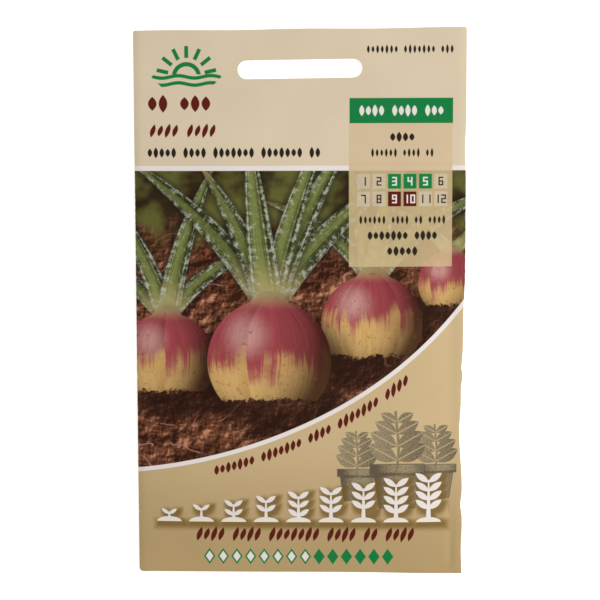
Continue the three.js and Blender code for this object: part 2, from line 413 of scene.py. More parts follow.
def write_places(thing, points):
    """Keeps each point's place across and up the packet, and how far inside its outline it lies, in
    millimetres, for the materials to read."""
    x, y, _ = points.T
    inset = np.minimum.reduce([x - LEFT, right_side(y) - x, TOP - y, y - BOTTOM])
    for name, values in (("across", x), ("up", y), ("inset", inset)):
        thing.data.attributes.new(name, "FLOAT", "POINT").data.foreach_set("value", values)


# Sachet and seeds

def film_lines(middle, half):
    """Grid lines across a film: fine over its two crimped seals, and wider between them."""
    fine, wide = CRIMP["pitch"] / CRIMP["lines"], 1.3
    seal = np.arange(0, SACHET["seal"] + 1, fine)
    between = np.arange(-half + seal[-1] + wide, half - seal[-1], wide)
    return middle + np.concatenate([-half + seal, between, half - seal[::-1]])


def crimp(from_side, from_end):
    """Fine ribs that run across each seal, one sine wave for each rib, and fade at the seal's inner edge."""
    def ribs(distance):
        fade = smooth(distance, SACHET["seal"] + 0.4, SACHET["seal"] - 0.4)
        return np.sin(2 * np.pi * distance / CRIMP["pitch"]) * fade
    return CRIMP["depth"] * np.where(from_side < from_end, ribs(from_side), ribs(from_end))


def film_mesh(bulge, above):
    """One film of the sachet: a sheet on the back panel, raised by its bulge between the seals, with its own
    thickness and closed round its border."""
    x, y = np.meshgrid(film_lines(SACHET["x"], SACHET["half_x"]), film_lines(SACHET["y"], SACHET["half_y"]))
    from_side = SACHET["half_x"] - np.abs(x - SACHET["x"])
    from_end = SACHET["half_y"] - np.abs(y - SACHET["y"])
    inside_side, inside_end = from_side - SACHET["seal"], from_end - SACHET["seal"]
    raised = bulge * ramp(inside_side, SACHET["rise"]) * ramp(inside_end, SACHET["rise"])
    floor = SEAM_HEIGHT * back_lift(x, y) + PAPER + CLEAR["sachet"] + CRIMP["depth"]
    low = floor + above + raised + crimp(from_side, from_end)
    rows, columns = x.shape
    quads = grid_faces(rows, columns).reshape(-1, 4)
    border = around(0, rows - 1, 0, columns - 1, columns)
    points = np.concatenate([np.column_stack([x.ravel(), y.ravel(), z.ravel()]) for z in (low, low + FILM)])
    return points, np.concatenate([quads[:, ::-1], quads + x.size, strip(border, border + x.size)])


def ball(rings, sides):
    """A unit ball as triangles: rings of points between two poles."""
    polar = np.pi * np.arange(1, rings) / rings
    turn = 2 * np.pi * np.arange(sides) / sides
    body = np.stack([
        np.outer(np.sin(polar), np.cos(turn)), np.outer(np.sin(polar), np.sin(turn)),
        np.repeat(np.cos(polar)[:, None], sides, axis=1),
    ], axis=-1).reshape(-1, 3)
    points = np.concatenate([body, [[0, 0, 1], [0, 0, -1]]])
    here = np.arange(sides)
    beside = np.roll(here, -1)
    north, south = len(body), len(body) + 1
    faces = [np.stack([np.full(sides, north), here, beside], axis=1)]
    for ring in range(rings - 2):
        upper, lower = ring * sides, (ring + 1) * sides
        faces.append(np.stack([upper + here, lower + here, lower + beside], axis=1))
        faces.append(np.stack([upper + here, lower + beside, upper + beside], axis=1))
    last = (rings - 2) * sides
    faces.append(np.stack([np.full(sides, south), last + beside, last + here], axis=1))
    return points, np.concatenate(faces)


def seeds_mesh():
    """A round heap of seeds in one layer: a spiral walk outwards at even steps, each seed a slightly
    flattened ball with low dents, turned at random."""
    draw = np.random.default_rng(SEEDS["draw"])
    number = np.arange(SEEDS["count"])
    outwards = SEEDS["turn_gap"] / (2 * np.pi)
    angle = np.sqrt(SEEDS["start"] ** 2 + 2 * number * SEEDS["step"] / outwards)
    reach = outwards * angle
    floor = PAPER + CLEAR["sachet"] + 2 * CRIMP["depth"] + FILM + CLEAR["seeds"]
    middle = np.stack([
        SACHET["x"] + reach * np.cos(angle), SEEDS["y"] + reach * np.sin(angle),
        np.full(SEEDS["count"], floor + SEEDS["radius"]),
    ], axis=1)
    unit, faces = ball(SEED_RINGS, SEED_SIDES)
    dents = 1 - 0.035 * np.sin(unit @ [5.1, 3.7, 4.3]) - 0.02 * np.sin(unit @ [9.1, -7.3, 6.1])
    shape = unit * dents[:, None] * SEED_SHAPE * SEEDS["radius"]
    turns, _ = np.linalg.qr(draw.normal(size=(SEEDS["count"], 3, 3)))
    turns[:, :, 0] *= np.sign(np.linalg.det(turns))[:, None]
    points = middle[:, None, :] + np.einsum("nij,pj->npi", turns, shape)
    starts = number * len(unit)
    return points.reshape(-1, 3), (faces[None] + starts[:, None, None]).reshape(-1, 3)


# Formulas as shader nodes

class Term:
    """A number that varies over a surface, with ordinary arithmetic on it."""

    def __init__(self, inks, socket):
        self.inks, self.socket = inks, socket

    def __add__(self, other):
        return self.inks.math("ADD", self, other)

    def __sub__(self, other):
        return self.inks.math("SUBTRACT", self, other)

    def __rsub__(self, other):
        return self.inks.math("SUBTRACT", other, self)

    def __mul__(self, other):
        return self.inks.math("MULTIPLY", self, other)

    def __truediv__(self, other):
        return self.inks.math("DIVIDE", self, other)

    def __neg__(self):
        return self.inks.math("MULTIPLY", self, -1.0)

    def __abs__(self):
        return self.inks.math("ABSOLUTE", self)


class Inks:
    """Turns formulas into the nodes of one node tree, in the order in which they are written."""

    def __init__(self, tree):
        self.tree = tree
        self.place = None

    def wire(self, node, inputs):
        """Links a node's inputs, by name or number, to terms or sockets, or sets them to plain values."""
        for name, value in inputs.items():
            value = value.socket if isinstance(value, Term) else value
            if isinstance(value, bpy.types.NodeSocket):
                self.tree.links.new(value, node.inputs[name])
            else:
                node.inputs[name].default_value = value

    def node(self, kind, inputs, **settings):
        made = self.tree.nodes.new(kind)
        for name, value in settings.items():
            setattr(made, name, value)
        self.wire(made, inputs)
        return made

    def math(self, operation, *values):
        made = self.node("ShaderNodeMath", dict(enumerate(values)), operation=operation)
        return Term(self, made.outputs[0])

    def attribute(self, name):
        return Term(self, self.node("ShaderNodeAttribute", {}, attribute_name=name).outputs["Fac"])

    def least(self, first, *others):
        for other in others:
            first = self.math("MINIMUM", first, other)
        return first

    def most(self, first, *others):
        for other in others:
            first = self.math("MAXIMUM", first, other)
        return first

    def clamp(self, value):
        return Term(self, self.node("ShaderNodeClamp", {"Value": value}).outputs[0])

    def square(self, value):
        return value * value

    def root(self, value):
        return self.math("SQRT", value)

    def length(self, x, y):
        return self.root(x * x + y * y)

    def cell(self, value, pitch):
        """Which cell of a pitch a number falls in, and how far past that cell's middle it lies."""
        number = self.math("FLOOR", value / pitch)
        return number, value - (number + 0.5) * pitch

    def slide(self, value, low, high, start=0.0, end=1.0, kind="SMOOTHSTEP"):
        """start at low, end at high, and an even S between."""
        inputs = {"Value": value, "From Min": low, "From Max": high, "To Min": start, "To Max": end}
        made = self.node("ShaderNodeMapRange", inputs, interpolation_type=kind)
        return Term(self, made.outputs[0])

    def fill(self, distance, blur=0.05):
        """1 inside a shape, where its distance is below 0, and 0 outside it."""
        return self.slide(distance, -blur, blur, 1.0, 0.0, "LINEAR")

    def mix(self, share, under, over):
        """One colour laid over another by a share, as a colour socket."""
        return self.node("ShaderNodeMix", {0: share, 6: under, 7: over}, data_type="RGBA").outputs[2]

    def patches(self, kind, size, seed, tall=1.0, turn=0.0, shift=(0, 0), **settings):
        """A texture whose patches are size millimetres across and tall times as high, turned by an angle."""
        if self.place is None:
            self.place = self.node("ShaderNodeTexCoord", {}).outputs["Object"]
        inputs = {
            "Vector": self.place, "Location": (shift[0] * MM, shift[1] * MM, -seed),
            "Rotation": (0, 0, turn), "Scale": (size * MM, size * tall * MM, 1),
        }
        mapping = self.node("ShaderNodeMapping", inputs, vector_type="TEXTURE")
        return self.node(kind, {"Vector": mapping.outputs[0], "Scale": 1.0, **settings})

    def noise(self, size, seed, detail=2.0, roughness=0.5, **layout):
        """Smooth noise from about 0.2 to 0.8."""
        made = self.patches("ShaderNodeTexNoise", size, seed, Detail=detail, Roughness=roughness, **layout)
        return Term(self, made.outputs["Fac"])

    def cells(self, size, seed):
        """Distance from the middle of the nearest of many scattered cells, in cells."""
        return Term(self, self.patches("ShaderNodeTexVoronoi", size, seed).outputs["Distance"])

    def streaks(self, value, detail, roughness):
        """Noise along one number."""
        inputs = {"W": value, "Scale": 1.0, "Detail": detail, "Roughness": roughness}
        return Term(self, self.node("ShaderNodeTexNoise", inputs, noise_dimensions="1D").outputs["Fac"])

    def box(self, x, y, low_x, low_y, high_x, high_y):
        """Distance to an upright box, below 0 inside it."""
        half_x, half_y = (high_x - low_x) / 2, (high_y - low_y) / 2
        across = abs(x - (low_x + half_x)) - half_x
        return self.most(across, abs(y - (low_y + half_y)) - half_y)

    def use(self, group, **values):
        """Places a node group and returns its outputs by name, numbers as terms and colours as sockets."""
        made = self.node("ShaderNodeGroup", values, node_tree=group)
        return {out.name: Term(self, out) if out.type == "VALUE" else out for out in made.outputs}

    def relief(self, shader, height, strength, depth):
        """Bumps a shader's surface by a height, depth millimetres for a height of 1."""
        bump = self.node("ShaderNodeBump", {"Strength": strength, "Distance": depth * MM, "Height": height})
        self.wire(shader, {"Normal": bump.outputs["Normal"]})


def group(name, inputs, outputs, formula):
    """A node group. inputs are names of numbers, outputs are names of numbers, or of colours if they end in
    colour, and formula takes the inks and the inputs and returns the outputs in order."""
    tree = bpy.data.node_groups.new(name, "ShaderNodeTree")
    for label in inputs:
        tree.interface.new_socket(label, in_out="INPUT", socket_type="NodeSocketFloat")
    for label in outputs:
        kind = "NodeSocketColor" if label.endswith("colour") else "NodeSocketFloat"
        tree.interface.new_socket(label, in_out="OUTPUT", socket_type=kind)
    inks = Inks(tree)
    source = tree.nodes.new("NodeGroupInput")
    results = formula(inks, *[Term(inks, source.outputs[label]) for label in inputs])
    inks.wire(tree.nodes.new("NodeGroupOutput"), dict(zip(outputs, results)))
    return tree


def new_material(name):
    """A material, the inks of its nodes and its shader."""
    material = bpy.data.materials.new(name)
    material.use_nodes = True
    return material, Inks(material.node_tree), material.node_tree.nodes["Principled BSDF"]


# Inks and finishes

def ink(red, green, blue):
    """A printed colour, given as the 0 to 255 values that a screen shows, as Blender's linear colour."""
    share = np.array([red, green, blue]) / 255
    linear = np.where(share <= 0.04045, share / 12.92, ((share + 0.055) / 1.055) ** 2.4)
    return (*linear.tolist(), 1.0)


CREAM, CREAM_MIDDLE, CREAM_LOW = ink(212, 195, 167), ink(198, 173, 131), ink(177, 151, 107)
PANEL, PANEL_LOW = ink(203, 178, 142), ink(206, 182, 138)
GREEN, MAROON, BLACK, WHITE = ink(6, 121, 62), ink(88, 22, 16), ink(34, 30, 24), ink(226, 218, 212)
ENGRAVING, POT_GROUND = ink(92, 82, 66), ink(172, 156, 122)
PLANT_SHADOW, PLANT_FOOT = ink(112, 84, 30), ink(240, 228, 184)
LEAF_DARK, LEAF_LIGHT, LEAF_FOOT = ink(44, 48, 18), ink(148, 158, 88), ink(178, 164, 108)
LEAF_FROST, LEAF_TIP, LEAF_SHADE = ink(182, 188, 170), ink(150, 116, 70), ink(16, 12, 8)
CRIMSON_DARK, CRIMSON_LIGHT = ink(86, 14, 26), ink(188, 84, 92)
GOLD_DARK, GOLD_LIGHT = ink(152, 88, 32), ink(244, 212, 140)
BULB_NECK, BULB_DARK, BULB_GLOW = ink(176, 160, 112), ink(46, 14, 8), ink(240, 204, 190)
BULB_SHADE, BULB_SOIL = ink(34, 12, 6), ink(112, 60, 38)
SOIL_DARK, SOIL_LIGHT, SOIL_CRUMB = ink(46, 18, 8), ink(146, 88, 62), ink(204, 154, 124)
STRAW, FAR_DARK, FAR_LIGHT = ink(172, 118, 96), ink(44, 30, 14), ink(92, 92, 44)
PAPER_FIBRE, PAPER_RUBBED, PAPER_CUT = ink(96, 74, 48), ink(232, 222, 204), ink(222, 212, 194)
FOIL_DARK, FOIL_LIGHT = ink(176, 180, 184), ink(214, 216, 218)
SEED_DARK, SEED_LIGHT, SEED_NET = ink(44, 26, 20), ink(96, 62, 44), ink(128, 92, 66)
PRINT_ROUGHNESS, CUT_ROUGHNESS = (0.4, 0.5), (0.75, 0.85)


# Effects and motifs that are used more than once

# A steady turn from seed to seed ends a word when it comes round to less than the gap
WORD_TURN, WORD_GAP = 0.381966, 0.16


def paper_surface(inks, inset):
    """Coated paper: fine fibres, a slow cloudiness, and rubbed spots along its outline."""
    fibre = inks.noise(0.32, 2.0, 3.0, 0.65, tall=1.7)
    cloud = inks.noise(16.0, 5.0)
    scuffs = inks.noise(1.1, 9.0, 3.0, 0.7)
    rubbed = inks.slide(scuffs - inset * 0.9, 0.34, 0.62)
    return [fibre, cloud, rubbed]


def seed_row(inks, x, y, pitch, half_width, half_height, slant, cells, gaps):
    """A row of whole pointed seeds in words: a lens in each of so many cells, their heights a little uneven,
    with a cell left out wherever a steady turn comes round to its start."""
    cell, inside = inks.cell(x - y * slant, pitch)
    tall = half_height * (inks.math("FRACT", cell * 0.618034 + gaps) * 0.34 + 0.66)
    seed = (abs(inside) / half_width + inks.square(y / tall) - 1.0) * half_width * 0.7
    gap = inks.math("LESS_THAN", inks.math("FRACT", cell * WORD_TURN + gaps), WORD_GAP)
    beyond = inks.math("GREATER_THAN", inks.most(-cell, cell + 1.0 - cells), 0.5)
    return [seed + inks.most(gap, beyond) * 5.0]


def strap_leaf(inks, x, y, base_x, base_y, cosine, sine, length, width, bend, tone, bloom):
    """A long strap leaf in a picture, along a line that bends as a parabola: its mask, the shade round it and
    its colour, pale at the foot, striped lengthways, with a lit ridge, grey frost and a dry tip."""
    from_x, from_y = x - base_x, y - base_y
    along = (from_x * sine + from_y * cosine) / length
    held = inks.clamp(along)
    aside = from_x * cosine - from_y * sine - bend * held * held
    half = width * (1.12 - held * held * 1.1)
    distance = inks.most(abs(aside) - half, (along - 1.0) * length, -along * length)
    across = aside / half
    stripes = inks.streaks(across * 4.6 + tone * 17.0, 4.0, 0.8)
    ridge = inks.slide(abs(across + 0.22), 0.0, 1.0, 1.0, 0.0)
    light = inks.clamp(ridge * 0.5 + stripes * 1.1 + tone * 0.4 + bloom * 0.7 - 1.12)
    colour = inks.mix(light, LEAF_DARK, LEAF_LIGHT)
    colour = inks.mix(inks.slide(held, 0.0, 0.28, 0.75, 0.0), colour, LEAF_FOOT)
    frost = inks.slide(abs(across) * 0.3 + bloom * 1.6 + stripes * 0.5, 1.2, 1.5, 0.0, 0.8)
    colour = inks.mix(frost, colour, LEAF_FROST)
    colour = inks.mix(inks.slide(held, 0.8, 1.0, 0.0, 0.85), colour, LEAF_TIP)
    mask = inks.fill(distance, 0.16) * inks.slide(along, 0.0, 0.09)
    return [mask, inks.slide(distance, 1.9, -0.3, 0.0, 0.62) * inks.slide(along, 0.0, 0.2), colour]


def bulb(inks, x, y, middle_x, middle_y, radius, blush, bloom):
    """A ribbed bulb that narrows to a neck in a picture: its mask and its papery skin, crimson streaks from
    the neck over gold, crossed by soil, with the light from the upper left."""
    u, v = (x - middle_x) / radius, (y - middle_y) / radius
    body = inks.root(inks.most(1.0 - v * v, 0.0))
    shoulder = inks.slide(v, 0.3, 1.18, 0.9, 0.2)
    half = inks.most(body, shoulder * inks.slide(v, 0.3, 0.5), 0.01)
    across = inks.least(inks.most(u / half, -1.0), 1.0)
    turn = inks.math("ARCSINE", across)
    ribs = inks.streaks(turn * 3.6 + blush * 23.0 + bloom * 0.35, 5.0, 0.7)
    facing = inks.root(inks.most(1.0 - u * u - v * v * 0.8, 0.0))
    lit = inks.clamp(facing * 0.66 + v * 0.26 - u * 0.4 + 0.14)
    crimson = inks.mix(ribs, CRIMSON_DARK, CRIMSON_LIGHT)
    gold = inks.mix(ribs, GOLD_DARK, GOLD_LIGHT)
    streaked = inks.slide(v * 0.9 + bloom * 0.8 + blush + ribs * 2.0, 1.12, 1.62)
    colour = inks.mix(streaked, gold, crimson)
    colour = inks.mix(inks.slide(v, 0.8, 1.15, 0.0, 0.85), colour, BULB_NECK)
    colour = inks.mix(inks.slide(lit, 0.88, 0.06, 0.0, 0.94), colour, BULB_DARK)
    glow = inks.slide(inks.length(u + 0.36, v - 0.42), 0.5, 0.05, 0.0, 0.42)
    colour = inks.mix(glow * (ribs + 0.3), colour, BULB_GLOW)
    distance = inks.most(abs(u) - half, v - 1.3) * radius
    return [inks.fill(distance, 0.16), colour]


def pointed_leaf(inks, out, up, lean, length, half):
    """Distance to a pointed leaf, and to its midrib. It runs out from a stem at a lean from level, and each
    side of it is an arch of a parabola."""
    cosine, sine = math.cos(lean), math.sin(lean)
    along = out * cosine + up * sine
    aside = abs(up * cosine - out * sine)
    return (aside / half + inks.square(along / length * 2.0 - 1.0) - 1.0) * half, aside


def plant_row(inks, x, y, pitch, stages, age):
    """A row of young plants: a mound, a stem and up to four pairs of pointed leaves, as many as the age from
    0 to 1 has grown. Distance to the nearest plant."""
    _, past_middle = inks.cell(x, pitch)
    inside = abs(past_middle)
    tall = age * 8.6 + 2.6
    mound = (inks.square(inside / 3.2) + inks.square(y / 1.3) - 1.0) * 0.65
    stem = inks.most(inside - (age * 0.2 + 0.35) * (1.2 - y / (tall + 1.0)), y - tall)
    shape = inks.most(inks.least(mound, stem), -y)
    length = age * 1.7 + 2.5
    half = length * 0.19
    for pair, grown in enumerate((-1.0, 0.2, 0.48, 0.76)):
        leaf, _ = pointed_leaf(inks, inside, y - tall + 0.7 + pair * 2.35, 0.62, length, half)
        shape = inks.least(shape, leaf + inks.math("LESS_THAN", age, grown) * 9.0)
    border = 0.9
    return [inks.most(shape, border - x, x - pitch * stages + border)]


def engraved_pot(inks, x, y):
    """A plant pot with a leafy cutting, 14 mm wide and 27 mm high, in fine hatching: how dark its ink is, and
    how far it covers what stands behind it."""
    wall = y * 0.16 + 4.6
    body = inks.most(abs(x) - wall, -y, y - 9.4)
    rim = inks.most(abs(x) - 7.0, abs(y - 10.2) - 1.35)
    pot = inks.least(body, rim)
    leaves = inks.most(abs(x + inks.math("SINE", y * 0.3) * 0.4) - 0.32, 9.0 - y, y - 25.5)
    veins = []
    for place, length in ((12.6, 8.6), (16.2, 7.8), (19.6, 6.4), (22.6, 4.8)):
        leaf, midrib = pointed_leaf(inks, abs(x), y - place, 0.5, length, length * 0.26)
        leaves = inks.least(leaves, leaf)
        veins.append(inks.most(midrib, leaf + 0.2))
    grain = inks.noise(0.5, 71.0, 2.0, 0.7)
    hatch = abs(inks.math("FRACT", (x * 0.8 + y) / 0.7) - 0.5)
    tone = inks.square((x - 1.6) / 7.4) * 0.75 + inks.slide(y, 8.0, 9.0, 0.0, 0.5) * inks.slide(y, 9.6, 9.0)
    pot_dark = inks.clamp(tone + grain * 1.1 - hatch * 0.6 + 0.02)
    leaf_dark = inks.clamp(grain * 1.2 + hatch * 0.5 + x * 0.03 - 0.12)
    leaf_dark = leaf_dark * inks.slide(inks.least(*veins), 0.08, 0.24)
    leaf_dark = inks.most(leaf_dark, inks.slide(leaves, -0.24, -0.02, 0.0, 0.8))
    covers_pot, covers_leaf = inks.fill(pot, 0.1), inks.fill(leaves, 0.1)
    rim_line = inks.fill(abs(pot) - 0.14, 0.1)
    dark = inks.most(pot_dark * covers_pot, leaf_dark * covers_leaf, rim_line * 0.9)
    return [dark, inks.most(covers_pot, covers_leaf)]


def digit(inks, x, y, value):
    """One plain digit of seven straight strokes in a box one wide and two high: distance to its strokes. The
    bits of each stroke's number say in which digits it shows."""
    wide, high, stroke = 0.42, 0.86, 0.16
    power = inks.math("POWER", 2.0, value)
    across, up = abs(x) - wide, abs(abs(y) - high / 2) - high / 2
    strokes = (
        (1005, abs(y - high), across), (892, abs(y), across), (877, abs(y + high), across),
        (927, abs(x - wide), inks.most(up, -y)), (1019, abs(x - wide), inks.most(up, y)),
        (881, abs(x + wide), inks.most(up, -y)), (325, abs(x + wide), inks.most(up, y)),
    )
    shapes = []
    for bits, beside, beyond in strokes:
        shown = inks.math("MODULO", inks.math("FLOOR", inks.math("DIVIDE", bits, power) + 0.001), 2.0)
        shapes.append(inks.most(beside, beyond) - stroke + (1.0 - shown) * 9.0)
    return [inks.least(*shapes)]


def month_squares(inks, x, y, pitch_x, pitch_y):
    """Two rows of six numbered squares, 1 at the upper left, from the corner at the lower left: distance to
    the squares, distance to their numbers, and each square's number."""
    column, inside_x = inks.cell(x, pitch_x)
    row, inside_y = inks.cell(y, pitch_y)
    square = inks.most(abs(inside_x) - pitch_x * 0.42, abs(inside_y) - pitch_y * 0.42)
    square = inks.most(square, -x, x - pitch_x * 6.0, -y, y - pitch_y * 2.0)
    month = column + 1.0 + (1.0 - row) * 6.0
    tens = inks.math("GREATER_THAN", month, 9.5)
    size = pitch_y * 0.24
    ones_x = inside_x / size - tens * 0.66
    ones = inks.use(DIGIT, x=ones_x, y=inside_y / size, value=month - tens * 10.0)["distance"]
    one_x = abs(inside_x / size + 0.62) - 0.16
    one = inks.most(one_x, abs(inside_y / size) - 1.02) + (1.0 - tens) * 9.0
    return [square, inks.least(ones, one) * size, month]


PAPER_SURFACE = group("paper surface", ["inset"], ["fibre", "cloud", "rubbed"], paper_surface)
SEED_ROW = group(
    "seed row", ["x", "y", "pitch", "half_width", "half_height", "slant", "cells", "gaps"],
    ["distance"], seed_row,
)
STRAP_LEAF = group(
    "strap leaf",
    ["x", "y", "base_x", "base_y", "cosine", "sine", "length", "width", "bend", "tone", "bloom"],
    ["mask", "shade", "leaf colour"], strap_leaf,
)
BULB = group(
    "bulb", ["x", "y", "middle_x", "middle_y", "radius", "blush", "bloom"], ["mask", "skin colour"], bulb
)
PLANT_ROW = group("plant row", ["x", "y", "pitch", "stages", "age"], ["distance"], plant_row)
ENGRAVED_POT = group("engraved pot", ["x", "y"], ["dark", "cover"], engraved_pot)
DIGIT = group("digit", ["x", "y", "value"], ["distance"], digit)
MONTH_SQUARES = group(
    "month squares", ["x", "y", "pitch_x", "pitch_y"], ["square", "number", "month"], month_squares
)


# The picture

# Each bulb from the back: middle x, middle y, radius, how much of it is crimson, how many leaves it has
BULBS = (
    (38.8, 5.5, 8.5, 0.1, 2),
    (-34.5, -14.5, 12.5, 0.0, 4),
    (18.5, -5.0, 13.0, -0.1, 4),
    (-8.0, -14.5, 16.0, 0.05, 6),
)
PICTURE_DRAW = 12


def fan(neck_x, neck_y, radius, count, draw):
    """Strap leaves that spread from a neck, the outer ones first, drawn at random round an even fan: lean
    from upright in degrees, length, half width, sideways bend and tone."""
    side = np.linspace(-1, 1, count)
    side = side[np.argsort(-np.abs(side))]
    lean = 36 * side + draw.uniform(-6, 6, count)
    length = radius * draw.uniform(2.3, 3.3, count)
    width = radius * draw.uniform(0.15, 0.21, count)
    bend = radius * (0.9 * side + draw.uniform(-0.25, 0.25, count))
    tone = 0.9 - 0.6 * np.abs(side) + draw.uniform(-0.15, 0.15, count)
    foot = neck_x + side * radius * 0.1
    return np.column_stack([foot, np.full(count, neck_y), lean, length, width, bend, tone]).tolist()


def lay_strap(inks, x, y, picture, bloom, base_x, base_y, lean, length, width, bend, tone):
    """One strap leaf over a picture, with its shade. lean is its angle from upright, clockwise."""
    turn = math.radians(lean)
    made = inks.use(
        STRAP_LEAF, x=x, y=y, base_x=base_x, base_y=base_y, cosine=math.cos(turn), sine=math.sin(turn),
        length=length, width=width, bend=bend, tone=tone, bloom=bloom,
    )
    picture = inks.mix(made["shade"], picture, LEAF_SHADE)
    return inks.mix(made["mask"], picture, made["leaf colour"])


def soil(inks, y):
    """Crumbly red-brown soil: clods of two sizes lit from the upper left, gaps, crumbs and dry straws."""
    def clods(shift):
        large = inks.noise(9.0, 11.0, shift=shift)
        return large * 1.2 + inks.noise(3.4, 17.0, 6.0, 0.68, shift=shift)
    height = clods((0, 0))
    slope = height - clods((-0.45, 0.45))
    crumbs = inks.cells(1.5, 3.0)
    tone = inks.clamp(height * 1.15 - 0.87 + slope * 3.2 - crumbs * 0.22)
    colour = inks.mix(tone, SOIL_DARK, SOIL_LIGHT)
    colour = inks.mix(inks.slide(tone, 0.55, 1.0, 0.0, 0.6), colour, SOIL_CRUMB)
    line = abs(inks.noise(13.0, 41.0, 1.0, 0.4, tall=0.55, turn=0.5) - 0.5)
    there = inks.noise(8.0, 47.0, 1.0)
    straw = inks.slide(line, 0.004, 0.012, 1.0, 0.0) * inks.slide(there, 0.5, 0.56)
    colour = inks.mix(straw * 0.85, colour, STRAW)
    far = inks.noise(10.0, 31.0, 3.0)
    behind = inks.mix(inks.slide(far, 0.4, 0.62), FAR_DARK, FAR_LIGHT)
    return inks.mix(inks.slide(y + far * 12.0, 16.0, 30.0), colour, behind)


def garden_picture(inks, x, y):
    """Ribbed bulbs along the curve, standing in soil, with their strap leaves above them."""
    draw = np.random.default_rng(PICTURE_DRAW)
    picture = soil(inks, y)
    bloom = inks.noise(1.5, 61.0, 6.0, 0.75)
    patchy = inks.noise(8.0, 67.0, 3.0)
    for middle_x, middle_y, radius, blush, leaves in BULBS:
        shade = inks.length((x - middle_x - 2.0) * 0.8, y - middle_y + 3.5)
        dark = inks.slide(shade, radius * 1.25, radius * 0.8, 0.0, 0.8)
        picture = inks.mix(dark, picture, BULB_SHADE)
        made = inks.use(
            BULB, x=x, y=y, middle_x=middle_x, middle_y=middle_y, radius=radius, blush=blush, bloom=patchy
        )
        ground = middle_y - radius * 0.62
        sunk = inks.slide(y + bloom * 6.0 + patchy * 3.0, ground + 4.2, ground + 4.7)
        skin = inks.mix(inks.slide(bloom, 0.54, 0.68, 0.0, 0.7), made["skin colour"], BULB_SOIL)
        picture = inks.mix(made["mask"] * sunk, picture, skin)
        for strap in fan(middle_x, middle_y + radius * 1.02, radius, leaves, draw):
            picture = lay_strap(inks, x, y, picture, bloom, *strap)
    return [picture]


def cream_ground(inks, y):
    """The printed ground: pale cream in the header, warmer and darker towards the foot."""
    colour = inks.mix(inks.slide(y, 30.0, -12.0), CREAM, CREAM_MIDDLE)
    return [inks.mix(inks.slide(y, -28.0, -66.0), colour, CREAM_LOW)]


GARDEN_PICTURE = group("garden picture", ["x", "y"], ["picture colour"], garden_picture)
CREAM_GROUND = group("cream ground", ["y"], ["ground colour"], cream_ground)


# The printed paper

# Boxes: left, low, right, high. Calendars: left, low, and the pitch of their squares across and up
PANEL_BOX, TITLE_BOX = (12.55, 9.9, 38.95, 46.5), (12.7, 46.5, 39.05, 52.9)
BACK_BAND = (-36.0, 40.0, 36.0, 46.0)
FRONT_CALENDAR, BACK_CALENDAR = (14.3, 25.0, 3.95, 4.5), (24.0, -8.0, 8.0, 8.4)
SUN = {"x": -28.9, "y": 58.4, "disc": 3.2, "rays": 7, "ray_middle": 6.3, "furrow_half": 9.0}
# Rows of seeds: ink, left, right, middle, height, pitch, half a seed's width in pitches, slant, and a voice
# that tells rows of one length apart
HEADER_ROWS = (
    (MAROON, -39.1, -22.6, 51.6, 4.7, 2.75, 0.4, 0.0, 0),
    (MAROON, -38.6, -21.3, 44.7, 4.0, 1.95, 0.34, 0.3, 1),
    (BLACK, -39.2, 5.4, 39.1, 3.0, 1.55, 0.38, 0.0, 0),
    (BLACK, 16.9, 39.3, 65.2, 2.5, 1.15, 0.3, 0.0, 1),
    (WHITE, 15.0, 36.8, 49.7, 3.2, 1.7, 0.38, 0.0, 2),
    (BLACK, 22.9, 29.4, 43.0, 2.8, 1.6, 0.4, 0.0, 0),
    (BLACK, 18.0, 34.3, 39.0, 2.5, 1.2, 0.3, 0.0, 3),
)
PANEL_ROWS = (
    (BLACK, 15.0, 37.4, 21.9, 2.5, 1.2, 0.3, 0.0, 2),
    (BLACK, 17.2, 35.2, 17.9, 2.8, 1.5, 0.4, 0.0, 1),
    (BLACK, 22.2, 30.2, 13.9, 2.8, 1.6, 0.4, 0.0, 0),
)
FOOT_ROW = (MAROON, -27.4, 29.6, -60.1, 4.4, 1.9, 0.36, 0.32, 2)
BAND_ROW = (WHITE, -30.0, 30.0, 43.0, 3.2, 2.0, 0.4, 0.0, 1)
# The row along the curve: how far under it, its stretch along it, and as above from left on
CURVE_ROW_UNDER, CURVE_ROW_STRETCH, CURVE_ROW = 3.5, 1.13, (-25.5, 31.5, 3.2, 1.75, 0.4, 0.0, 1)
# Pots from the back: middle, foot, size
POTS = ((14.6, -51.0, 0.72), (35.0, -50.4, 0.76), (25.0, -53.0, 1.0))
FRONT_PLANTS = {"left": -38.6, "ground": -56.8, "pitch": 8.45, "stages": 9.0}
BACK_GROUND, BACK_PITCH, BACK_STAGES = 20.0, 9.8, 6.0
BACK_ROWS = {"count": 6, "first": -16.0, "step": 4.2, "half": 32.0, "style": (2.2, 1.2, 0.3, 0.0)}
LOZENGES = {"left": -25.7, "right": 24.4, "white_to": 2.9, "middle": -66.1, "pitch": 3.58}
LOZENGE_WIDE, LOZENGE_TALL, LOZENGE_RIM = 1.5, 2.2, 0.34


def whole_words(cells, voice):
    """A start for the steady turn of a row of seeds that leaves whole words at both of its ends."""
    starts = np.roll(np.arange(0.2, 1.16, 0.04), -5 * voice)
    for start in starts:
        gaps = np.flatnonzero((np.arange(cells) * WORD_TURN + start) % 1 < WORD_GAP)
        if not len(gaps) or (gaps[0] > 1 and gaps[-1] < cells - 2):
            return float(start)
    return float(starts[0])


